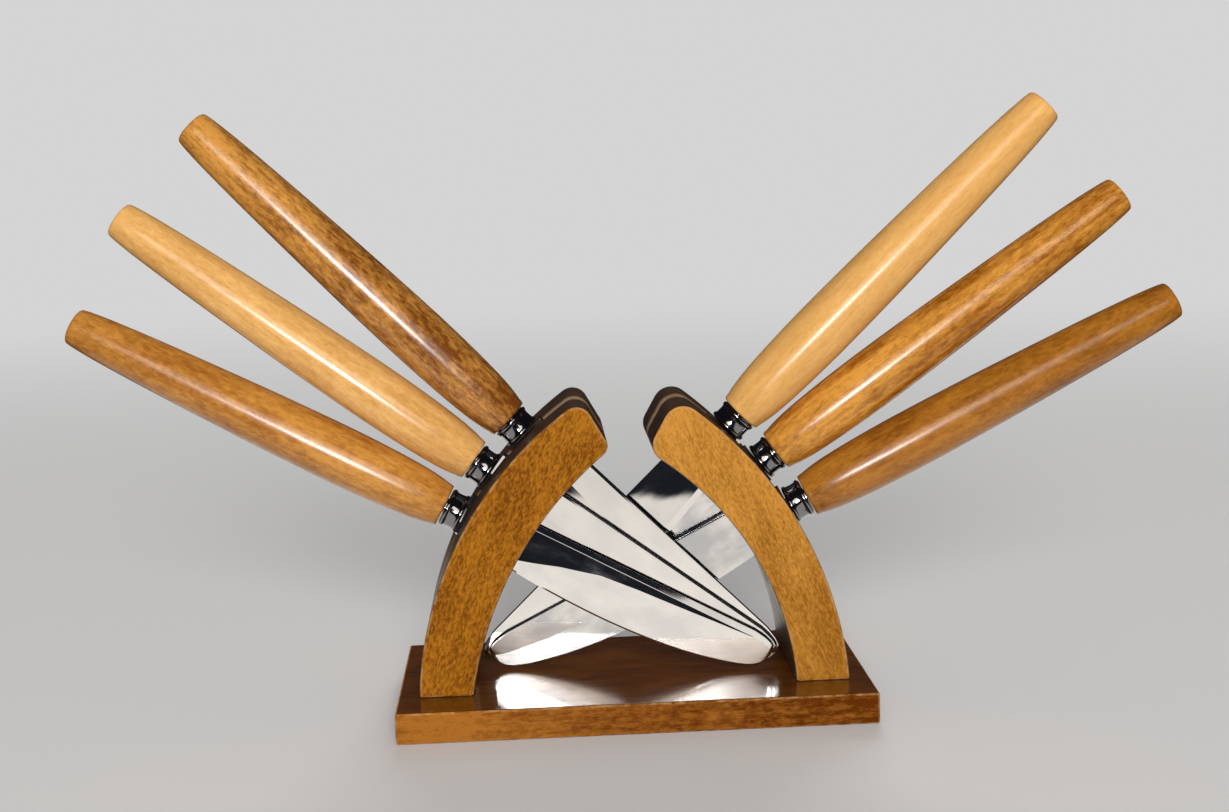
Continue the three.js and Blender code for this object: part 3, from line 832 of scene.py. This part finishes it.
def handle_profile(sizes, whole):
    """Profile of a handle from its butt: a flat end, a rounded rim on an ellipse, the barrel, a
    rounded neck on another ellipse, and the bore back to its floor."""
    butt_flat, butt_rim, neck_flat, bore_depth = 3.9, 4.8, 5.3, 56
    bore = sizes.bore_radius / MM
    barrel = catmull_rom(BARREL_SHARES, 130) * (whole, sizes.handle_radius / MM)
    rim_place = barrel[0, 0]
    last_place, last_radius = barrel[-1]
    opening = np.linspace(0, np.pi / 2, 7)[:-1]
    closing = np.linspace(0, np.pi / 2, 6)[1:]
    floor = whole - bore_depth
    return np.vstack([
        [(0, 0)],
        np.stack([rim_place * (1 - np.cos(opening)),
                  butt_flat + (butt_rim - butt_flat) * np.sin(opening)], -1),
        barrel,
        np.stack([last_place + (whole - last_place) * np.sin(closing),
                  neck_flat + (last_radius - neck_flat) * np.cos(closing)], -1),
        [(whole, bore), (floor, bore), (floor, 0)],
    ])


class KNIFESTAND_OT_handles(bpy.types.Operator):
    """Build the six turned and lacquered handles"""
    bl_idname = "knifestand.handles"
    bl_label = "Build handles"

    def execute(self, context):
        sides = 72
        for number, knife, stem, origin, axes, butt, neck in each_knife():
            profile = handle_profile(settings().knife, neck - butt) + (butt, 0)
            points, faces = turned(profile, sides, origin, *axes)
            piece = merged(new_piece(f"{stem}_handle_wood", points, faces), TURNED_ANGLE)
            put_grain(piece, origin, axes, (150 * number + 40, 9, 13 * number))
            from_butt = (mesh_points(piece.data) - origin) @ axes[0] - butt
            put_attribute(piece, "part", from_butt / (neck - butt))
            put_finishes(piece, [lacquered_wood(f"{stem} handle", *HANDLE_WOODS[knife])])
            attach(piece, knife)
            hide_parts(f"{stem}_handle")
        return {"FINISHED"}


# Finishes

def filled(tree, made, values):
    """The node with plain values or links set on its inputs."""
    for key, value in values.items():
        socket = made.inputs[key]
        if isinstance(value, bpy.types.NodeSocket):
            tree.links.new(value, socket)
        elif hasattr(socket.default_value, "__len__") and len(socket.default_value) == 4:
            socket.default_value = (*value[:3], 1)
        else:
            socket.default_value = value
    return made


def node(tree, kind, values, **settings_of):
    """Outputs of a new node with its inputs filled and its other settings set."""
    made = tree.nodes.new(kind)
    for key, value in settings_of.items():
        setattr(made, key, value)
    return filled(tree, made, values).outputs


def maths(tree, operation, a, b=0.0, c=0.0, clamp=False):
    return node(tree, "ShaderNodeMath", {0: a, 1: b, 2: c}, operation=operation, use_clamp=clamp)[0]


def mapped(tree, value, low, high, to_low=0.0, to_high=1.0):
    return node(tree, "ShaderNodeMapRange", {
        "Value": value, "From Min": low, "From Max": high, "To Min": to_low, "To Max": to_high},
        interpolation_type="SMOOTHSTEP")["Result"]


def centred(tree, value, reach):
    """The value's way from 0.5, from -0.5 to 0.5 as it goes from 0.5 - reach to 0.5 + reach."""
    return mapped(tree, value, 0.5 - reach, 0.5 + reach, -0.5, 0.5)


def scaled(tree, place, factor):
    return node(tree, "ShaderNodeVectorMath", {0: place, "Scale": factor}, operation="SCALE")[0]


def noise(tree, place, scale, detail=2.0, roughness=0.5, distortion=0.0):
    """Noise of a scale, or of one scale each along the grain, across it and up."""
    if isinstance(scale, tuple):
        place = node(tree, "ShaderNodeVectorMath", {0: place, 1: scale}, operation="MULTIPLY")[0]
        scale = 1
    return node(tree, "ShaderNodeTexNoise", {
        "Vector": place, "Scale": scale, "Detail": detail, "Roughness": roughness,
        "Distortion": distortion})["Fac"]


def mixed(tree, factor, a, b, blend="MIX"):
    values = {0: factor, 6: a, 7: b}
    return node(tree, "ShaderNodeMix", values, data_type="RGBA", blend_type=blend)[2]


def mixed_shader(tree, factor, a, b):
    return node(tree, "ShaderNodeMixShader", {0: factor, 1: a, 2: b})[0]


def emission(tree, tint, strength=1.0):
    return node(tree, "ShaderNodeEmission", {"Color": tint, "Strength": strength})[0]


def attribute(tree, name, output):
    return node(tree, "ShaderNodeAttribute", {}, attribute_name=name, attribute_type="GEOMETRY")[output]


def bump(tree, height, strength, distance, before=None):
    values = {"Height": height, "Strength": strength, "Distance": distance}
    if before:
        values["Normal"] = before
    return node(tree, "ShaderNodeBump", values)[0]


def new_group(name, inputs, outputs):
    """Empty node group with its sockets; returns the tree, its input sockets and its output node."""
    tree = bpy.data.node_groups.new(name, "ShaderNodeTree")
    for label, kind, default in inputs:
        socket = tree.interface.new_socket(label, in_out="INPUT", socket_type=f"NodeSocket{kind}")
        if default is not None:
            socket.default_value = default
    for label, kind in outputs:
        tree.interface.new_socket(label, in_out="OUTPUT", socket_type=f"NodeSocket{kind}")
    return tree, tree.nodes.new("NodeGroupInput").outputs, tree.nodes.new("NodeGroupOutput")


def wood_figure(name):
    """Wood cut from a board: slow cloudy mottling, bands along the grain, fine fibres, speckles and
    short dark flecks. Each is noise on the grain coordinates, squeezed along the grain by its own
    share. Their sum is a shade from 0, the pale wood, to 1, the dark wood."""
    tree, given, out = new_group(name, [
        ("Place", "Vector", None), ("Pale", "Color", (0.6, 0.3, 0.1, 1)),
        ("Dark", "Color", (0.2, 0.08, 0.02, 1)), ("Mottle", "Float", 0.6), ("Speckle", "Float", 0.5),
        ("Fineness", "Float", 1.0), ("Flecks", "Float", 0.5), ("Bands", "Float", 0.5),
        ("Shade", "Float", 0.0),
    ], [("Color", "Color"), ("Roughness", "Float"), ("Height", "Float")])
    place, fine = given["Place"], scaled(tree, given["Place"], given["Fineness"])
    cloud = centred(tree, noise(tree, place, (0.05, 0.11, 0.11), 4, 0.6, 0.4), 0.2)
    band = centred(tree, noise(tree, place, (0.035, 0.5, 0.5), 3, 0.6, 0.5), 0.18)
    fibre = noise(tree, place, (0.25, 3.2, 3.2), 2, 0.6)
    speckle = centred(tree, noise(tree, fine, (0.42, 0.95, 0.95), 3, 0.62), 0.2)
    fleck = mapped(tree, noise(tree, fine, (0.62, 2.5, 2.5), 1, 0.4), 0.60, 0.72)
    shade = maths(tree, "MULTIPLY_ADD", cloud, given["Mottle"], maths(tree, "ADD", given["Shade"], 0.42))
    shade = maths(tree, "MULTIPLY_ADD", band, given["Bands"], shade)
    shade = maths(tree, "MULTIPLY_ADD", maths(tree, "SUBTRACT", fibre, 0.5), 0.45, shade)
    shade = maths(tree, "MULTIPLY_ADD", speckle, given["Speckle"], shade, True)
    base = mixed(tree, shade, given["Pale"], given["Dark"])
    deep = mixed(tree, 1.0, given["Dark"], (0.6, 0.55, 0.5), "MULTIPLY")
    filled(tree, out, {
        "Color": mixed(tree, maths(tree, "MULTIPLY", fleck, given["Flecks"]), base, deep),
        "Roughness": mapped(tree, shade, 0, 1, 0.34, 0.5),
        "Height": maths(tree, "MULTIPLY_ADD", fleck, -0.5, maths(tree, "MULTIPLY", fibre, 0.5)),
    })
    return tree


def surface_wave(name):
    """Slow unevenness of a hand-finished surface: two sizes of noise added as a height."""
    tree, given, out = new_group(
        name, [("Place", "Vector", None), ("Size", "Float", 1)], [("Height", "Float")])
    place = scaled(tree, given["Place"], given["Size"])
    height = maths(tree, "MULTIPLY_ADD", noise(tree, place, 0.5, 1), 0.25, noise(tree, place, 0.12, 2))
    filled(tree, out, {"Height": height})
    return tree


def worn_and_lit_edges(name):
    """Mask of rubbed-through wood and painted highlight on rounded edges: the wear attribute, broken up
    by noise.
    """
    tree, given, out = new_group(name, [
        ("Wear", "Float", 0), ("Place", "Vector", None), ("Amount", "Float", 0.5)], [("Mask", "Float")])
    patch = mapped(tree, noise(tree, given["Place"], 0.35, 3, 0.6), 0.38, 0.62)
    worn_and_lit = maths(tree, "MULTIPLY", given["Wear"], patch)
    filled(tree, out, {"Mask": maths(tree, "MULTIPLY", worn_and_lit, given["Amount"], 0, True)})
    return tree


def placed(tree, name, build, values):
    """Outputs of a node group in a material, with its inputs filled. The group is built once."""
    found = bpy.data.node_groups.get(name) or build(name)
    return node(tree, "ShaderNodeGroup", values, node_tree=found)


def new_material(name, plain):
    """Material with one Principled shader, whose plain values are set on its own sockets."""
    material = bpy.data.materials.new(name)
    material.use_nodes = True
    tree = material.node_tree
    return material, tree, filled(tree, tree.nodes["Principled BSDF"], plain)


def wood(name, plain, pale, dark, figure, wave, fibres=None, worn_and_lit=0.0):
    """Wood figure on the grain coordinates over a slow wave. The shade runs from the first to the
    second of the figure's shades as the part attribute goes from 0 to 1 along the piece. The wave
    gives its size, strength and depth, the fibres their strength and depth, where they can be
    felt, and worn_and_lit is the share of rubbed-through wood and painted highlight on the edges."""
    material, tree, shader = new_material(name, plain)
    shares, shades = figure
    place = attribute(tree, "grain", "Vector")
    shade = mapped(tree, attribute(tree, "part", "Fac"), 0, 1, *shades)
    grown = placed(tree, "Wood figure", wood_figure, {
        "Place": place, "Pale": pale, "Dark": dark, "Shade": shade,
        **dict(zip(("Mottle", "Speckle", "Fineness", "Flecks", "Bands"), shares))})
    tint = grown["Color"]
    # Rubbed-through wood and painted highlight on the edges
    if worn_and_lit:
        bare_and_lit = placed(tree, "Worn edges", worn_and_lit_edges, {
            "Wear": attribute(tree, "wear", "Fac"), "Place": place, "Amount": worn_and_lit})
        tint = mixed(tree, bare_and_lit["Mask"], tint, settings().colours.worn_and_lit)
    size, strength, depth = wave
    slow = placed(tree, "Surface wave", surface_wave, {"Place": place, "Size": size})
    normal = bump(tree, slow["Height"], strength, depth)
    if fibres:
        normal = bump(tree, grown["Height"], *fibres, normal)
    filled(tree, shader, {"Base Color": tint, "Roughness": grown["Roughness"], "Normal": normal})
    return material


def lacquered_wood(name, pale, dark, figure, lacquer):
    """Turned wood under clear glossy lacquer."""
    plain = {"Coat Weight": lacquer[0], "Coat Roughness": lacquer[1], "Coat IOR": 1.5,
             "Specular IOR Level": 0.08}
    return wood(name, plain, pale, dark, figure, (1.0, 0.12, 0.0004), (0.25, 0.0001))


def sawn_wood(name, pale, dark, figure):
    """Sawn and sanded face of a board under thin oil, with rubbed edges that also carry painted
    highlight.
    """
    plain = {"Specular IOR Level": 0.03}
    return wood(name, plain, pale, dark, figure, (1.2, 0.4, 0.0004), (0.5, 0.00015), 0.6)


def rim_shade_and_slot_wood(name, pale, dark):
    """Dark satin stain on the arms' rims, made darker still as painted shade of the upward and outward
    faces, and darker brown wood on the slots' walls, both rubbed at the edges and lit there by painted
    highlight.
    """
    plain = {"Coat Weight": 0.2, "Coat Roughness": 0.4, "Specular IOR Level": 0.2}
    return wood(name, plain, pale, dark, RIM_FIGURE, (1.0, 0.15, 0.0003), worn_and_lit=0.12)


def dark_varnish_and_shade(name, pale, dark):
    """Dark glossy varnish on the board's top, made darker still as painted shade of the upward face."""
    plain = {"Coat Weight": 1.0, "Coat Roughness": 0.16, "Coat IOR": 1.55, "Specular IOR Level": 0.05}
    return wood(name, plain, pale, dark, VARNISH_FIGURE, (1.0, 0.1, 0.0003))


def polished_steel(name, tint, smooth, smeared, cloud_and_shade_share, brightness):
    """Mirror-polished steel with faint handling marks and a slight ripple from grinding. Where a blade
    has the full share of clouds or a lower brightness, the greyer steel is painted shade of dimmer
    reflections.
    """
    material, tree, shader = new_material(name, {"Metallic": 1.0})
    place = attribute(tree, "grain", "Vector")
    clouds = mapped(tree, noise(tree, place, (0.09, 0.16, 0.16), 3, 0.55), 0.3, 0.68)
    # Greyer steel in the clouds: handling marks, and painted shade on the blades with a full share
    bright = tuple(part * brightness for part in tint)
    dull_and_shaded = tuple(part * factor for part, factor in zip(bright, (0.66, 0.68, 0.72)))
    patches = noise(tree, place, (0.08, 0.3, 0.3), 4, 0.65)
    ripple = bump(tree, noise(tree, place, (0.05, 0.1, 0.16), 1), 0.04, 0.0006)
    filled(tree, shader, {
        "Base Color": mixed(tree, maths(tree, "MULTIPLY", clouds, cloud_and_shade_share), bright, dull_and_shaded),
        "Roughness": mapped(tree, patches, 0.4, 0.75, smooth, smeared),
        "Normal": bump(tree, noise(tree, place, (0.05, 6, 6), 2), 0.012, 0.00005, ripple),
    })
    return material


def plated_metal(name, tint, roughness):
    """Plating of the given tint with faint smears. The dark tints of the bolsters and of the blades'
    spines are painted dark reflection; the screws keep their own brass colour.
    """
    material, tree, shader = new_material(name, {"Base Color": tint, "Metallic": 1.0})
    place = node(tree, "ShaderNodeTexCoord", {})["Object"]
    smear = mapped(tree, noise(tree, place, 700, 3, 0.6), 0.35, 0.75, roughness, roughness + 0.1)
    filled(tree, shader, {"Roughness": smear})
    return material


# Stage

class KNIFESTAND_OT_stage(bpy.types.Operator):
    """Set up the floor, the lamps, the surroundings and the camera"""
    bl_idname = "knifestand.stage"
    bl_label = "Set up stage"

    def execute(self, context):
        values, colours = settings().stage, settings().colours
        build_floor(colours, values.table_reach)
        surroundings(colours, values.ambient)
        for name, (place, size, tint, unseen) in LAMPS.items():
            made = lamp(f"{name} lamp", place, size, getattr(values, f"{name}_power"))
            made.data.color = tint
            setattr(made, f"visible_{unseen}", False)
        photo_camera(values.focal_pixels)
        context.scene.view_settings.view_transform = "Standard"
        return {"FINISHED"}


def build_floor(colours, table_reach):
    """Round floor: rings of points at growing distances from the middle. Metal shows it as a pale
    table with a dark floor beyond, and the camera as a floor that fades into the backdrop."""
    sides, rings, reach, edge_width = 96, 24, 6, 0.008
    fading, shading, far_light = (0.3, 1.2), (0.08, 0.22), 0.88
    distance = np.concatenate([[0.05], np.geomspace(0.1, reach, rings)])
    profile = np.stack([0 * distance, distance / MM], -1)
    points = rings_round(profile, sides, np.zeros(3), *SCREW_AXES)
    faces = [list(range(sides))] + ring_faces(len(distance), sides)[:, ::-1].tolist()
    floor = new_piece("floor", points, faces)
    material, tree, shader = new_material("pale floor", {"Roughness": 0.9, "Specular IOR Level": 0.1})
    place = node(tree, "ShaderNodeTexCoord", {})["Object"]
    away = node(tree, "ShaderNodeVectorMath", {0: place}, operation="LENGTH")["Value"]
    rays = node(tree, "ShaderNodeLightPath", {})
    bounced = tuple(0.5 * part for part in colours.floor)
    filled(tree, shader, {"Base Color": mixed(tree, rays["Is Camera Ray"], bounced, colours.floor)})
    far = maths(tree, "MULTIPLY", mapped(tree, away, *fading), rays["Is Camera Ray"])
    seen = mixed_shader(tree, far, shader.outputs[0], emission(tree, colours.backdrop))
    table = emission(tree, colours.table, mapped(tree, away, *shading, 1.0, far_light))
    edge = mapped(tree, away, table_reach - edge_width, table_reach + edge_width)
    mirrored = mixed_shader(tree, edge, table, emission(tree, colours.beyond))
    surface = mixed_shader(tree, rays["Is Glossy Ray"], seen, mirrored)
    filled(tree, tree.nodes["Material Output"], {"Surface": surface})
    put_finishes(floor, [material])


def surroundings(colours, ambient):
    """Pale to the camera, dark in polished metal as the room was, and even light elsewhere."""
    world = bpy.data.worlds.new("surroundings")
    bpy.context.scene.world = world
    world.use_nodes = True
    tree = world.node_tree
    tree.nodes.clear()
    rays = node(tree, "ShaderNodeLightPath", {})
    even, room, seen = (
        node(tree, "ShaderNodeBackground", {"Color": tint, "Strength": strength})[0]
        for tint, strength in (((1, 1, 1), ambient), (colours.room, 1.0), (colours.backdrop, 1.0)))
    bounced = mixed_shader(tree, rays["Is Glossy Ray"], even, room)
    surface = mixed_shader(tree, rays["Is Camera Ray"], bounced, seen)
    node(tree, "ShaderNodeOutputWorld", {"Surface": surface})


def lamp(name, place, size, watts):
    """Large rectangular lamp that looks at the middle of the object."""
    data = bpy.data.lights.new(name, "AREA")
    data.shape = "RECTANGLE"
    data.size, data.size_y = size
    data.energy = watts
    made = bpy.data.objects.new(name, data)
    bpy.context.scene.collection.objects.link(made)
    made.location = place
    x, y, z = np.subtract(OBJECT_MIDDLE, place)
    made.rotation_euler = (math.atan2(math.hypot(x, y), -z), 0, math.atan2(-x, y))
    made.visible_camera = False
    return made


def photo_camera(focal_pixels):
    """Camera at the photograph's viewpoint: turned right, tipped down and rolled."""
    data = bpy.data.cameras.new("photo camera")
    data.sensor_width = SENSOR_WIDTH
    data.lens = SENSOR_WIDTH * focal_pixels / PHOTO_WIDTH
    data.clip_start = 0.01
    camera = bpy.data.objects.new("photo camera", data)
    bpy.context.scene.collection.objects.link(camera)
    yaw, pitch, roll = np.radians(CAMERA_ANGLES)
    forward = np.array([np.sin(yaw) * np.cos(pitch), np.cos(yaw) * np.cos(pitch), np.sin(pitch)])
    right = np.array([np.cos(yaw), -np.sin(yaw), 0])
    upward = np.cross(right, forward)
    rolled_right = np.cos(roll) * right + np.sin(roll) * upward
    rolled_up = -np.sin(roll) * right + np.cos(roll) * upward
    turn = mathutils.Matrix(np.stack([rolled_right, rolled_up, -forward], -1).tolist())
    place = mathutils.Vector(CAMERA_PLACE)
    camera.matrix_world = mathutils.Matrix.LocRotScale(place, turn, None)
    bpy.context.scene.camera = camera


# Add-on

class KNIFESTAND_PT_panel(bpy.types.Panel):
    """Sidebar panel that lists the building steps and the sizes"""
    bl_label = "Knife Stand"
    bl_idname = "KNIFESTAND_PT_panel"
    bl_space_type = "VIEW_3D"
    bl_region_type = "UI"
    bl_category = "Knife Stand"

    def draw(self, context):
        for operator in OPERATORS:
            self.layout.operator(operator.bl_idname)
        every = settings()
        for part in (every.stand, every.stand.left_arm, every.stand.right_arm, every.knife,
                     every.colours, every.stage):
            box = self.layout.box()
            for name in part.bl_rna.properties.keys():
                if name not in ("name", "rna_type", "left_arm", "right_arm"):
                    box.prop(part, name)


OPERATORS = (
    KNIFESTAND_OT_stage, KNIFESTAND_OT_base_board, KNIFESTAND_OT_arms, KNIFESTAND_OT_screws,
    KNIFESTAND_OT_blades, KNIFESTAND_OT_bolsters, KNIFESTAND_OT_handles,
)
CLASSES = (
    ArmSizes, StandSizes, KnifeSizes, FinishColours, StageSettings, KnifeStandSettings,
    *OPERATORS, KNIFESTAND_PT_panel,
)


def register():
    for cls in CLASSES:
        bpy.utils.register_class(cls)
    bpy.types.Scene.knife_stand = bpy.props.PointerProperty(type=KnifeStandSettings)


def unregister():
    del bpy.types.Scene.knife_stand
    for cls in reversed(CLASSES):
        bpy.utils.unregister_class(cls)


def main():
    register()
    for name, size in RIGHT_ARM_SIZES.items():
        setattr(settings().stand.right_arm, name, size)
    bpy.ops.knifestand.stage()
    bpy.ops.knifestand.base_board()
    bpy.ops.knifestand.arms()
    bpy.ops.knifestand.screws()
    bpy.ops.knifestand.blades()
    bpy.ops.knifestand.bolsters()
    bpy.ops.knifestand.handles()


if __name__ == "__main__":
    main()
